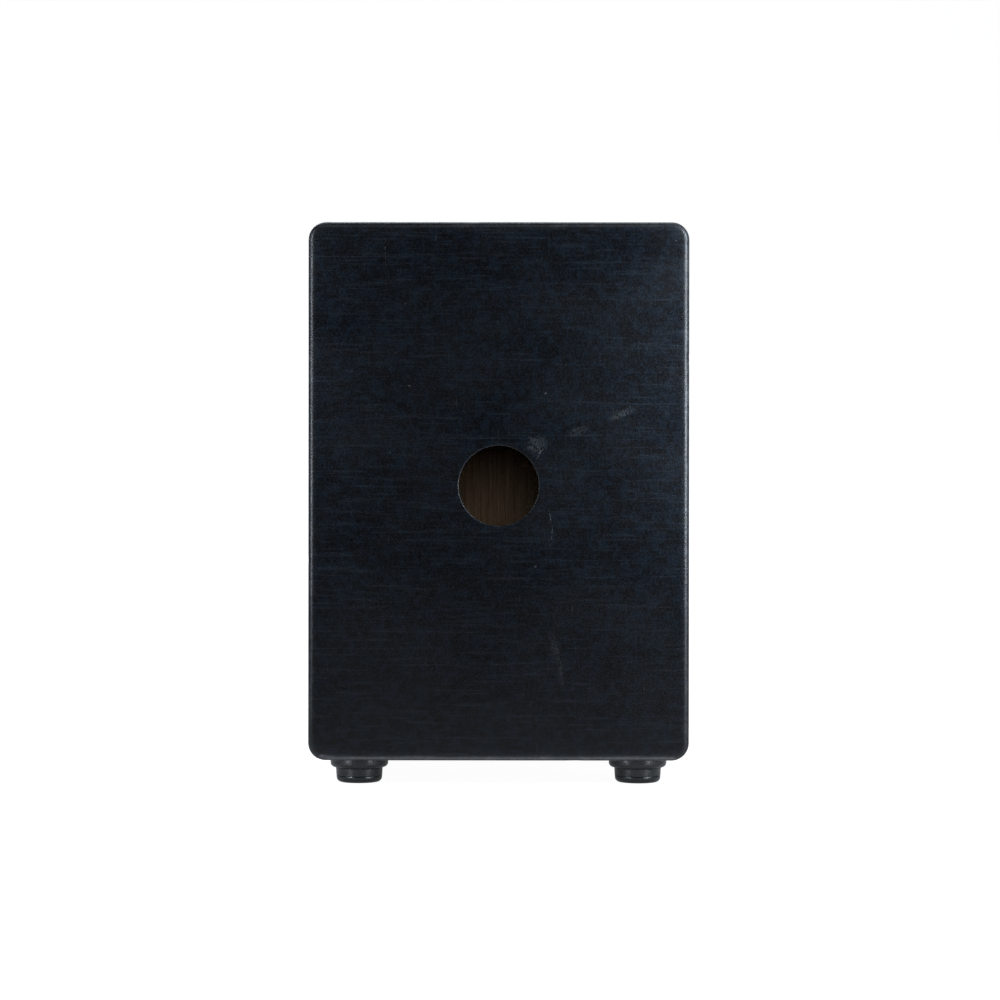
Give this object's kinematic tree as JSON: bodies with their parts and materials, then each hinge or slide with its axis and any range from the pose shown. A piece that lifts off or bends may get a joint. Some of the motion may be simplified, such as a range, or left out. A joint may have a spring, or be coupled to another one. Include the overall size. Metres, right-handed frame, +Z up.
{
  "type": "cajon",
  "caption": "Box drum sat on to play: thin struck front plate, sound hole in the back, string snares inside, stepped feet.",
  "frame": {"origin": "on the floor under the middle of the box", "axes": "+Z up; -Y is the struck front plate; +Y is the rear panel with the sound hole; +X is the left hand of a player sitting on it facing -Y"},
  "size_m": [0.302, 0.3, 0.447],
  "materials": {
    "black_painted_wood": "satin black paint",
    "front_plate_veneer": "satin clear lacquer",
    "plain_wood": "unfinished",
    "foot_rubber": "matt",
    "zinc_plated_steel": "zinc plated",
    "bright_steel": "bright zinc",
    "black_steel": "black oxide",
    "machined_steel": "machined",
    "string_bronze": "wound bronze"
  },
  "bodies": {
    "box": {"left_side_panel": "black_painted_wood", "right_side_panel": "black_painted_wood", "top_panel": "black_painted_wood", "bottom_panel": "black_painted_wood", "rear_panel": "black_painted_wood", "corner_block_top_left": "plain_wood", "corner_block_top_right": "plain_wood", "corner_block_bottom_left": "plain_wood", "corner_block_bottom_right": "plain_wood", "string_rail": "plain_wood", "front_plate": "front_plate_veneer", "foot_front_left": "foot_rubber", "foot_front_right": "foot_rubber", "foot_rear_left": "foot_rubber", "foot_rear_right": "foot_rubber", "anchor_plate_left": "zinc_plated_steel", "anchor_plate_right": "zinc_plated_steel", "tension_bracket_left": "zinc_plated_steel", "tension_bracket_right": "zinc_plated_steel", "foot_washers": "bright_steel", "foot_screws": "bright_steel", "anchor_screws": "bright_steel", "bracket_screws": "bright_steel", "front_plate_screws": "black_steel", "snare_string_left_outer": "string_bronze", "snare_string_left_inner": "string_bronze", "snare_string_right_outer": "string_bronze", "snare_string_right_inner": "string_bronze"},
    "tensioner_left": {"tension_screw_left": "black_steel", "retaining_clip_left": "bright_steel"},
    "tensioner_right": {"tension_screw_right": "black_steel", "retaining_clip_right": "bright_steel"},
    "carriage_left": {"carriage_left": "machined_steel"},
    "carriage_right": {"carriage_right": "machined_steel"}
  },
  "joints": [
    {"name": "tension_screw_left_turn", "type": "hinge", "parent": "box", "child": "tensioner_left", "pos_m": [-0.062, -0.137, 0.039], "axis": [0, 0, 1], "range_deg": [-1440, 720]},
    {"name": "carriage_left_slide", "type": "slide", "parent": "box", "child": "carriage_left", "axis": [0, 0, 1], "range_m": [-0.0016, 0.0032], "deforming": ["snare_string_left_outer", "snare_string_left_inner"]},
    {"name": "tension_screw_right_turn", "type": "hinge", "parent": "box", "child": "tensioner_right", "pos_m": [0.062, -0.137, 0.039], "axis": [0, 0, 1], "range_deg": [-1440, 720]},
    {"name": "carriage_right_slide", "type": "slide", "parent": "box", "child": "carriage_right", "axis": [0, 0, 1], "range_m": [-0.0016, 0.0032], "deforming": ["snare_string_right_outer", "snare_string_right_inner"]}
  ],
  "couplings": [
    {"joint": "tension_screw_left_turn", "follows": "carriage_left_slide", "rad_per_m": -7854},
    {"joint": "tension_screw_right_turn", "follows": "carriage_right_slide", "rad_per_m": -7854}
  ]
}
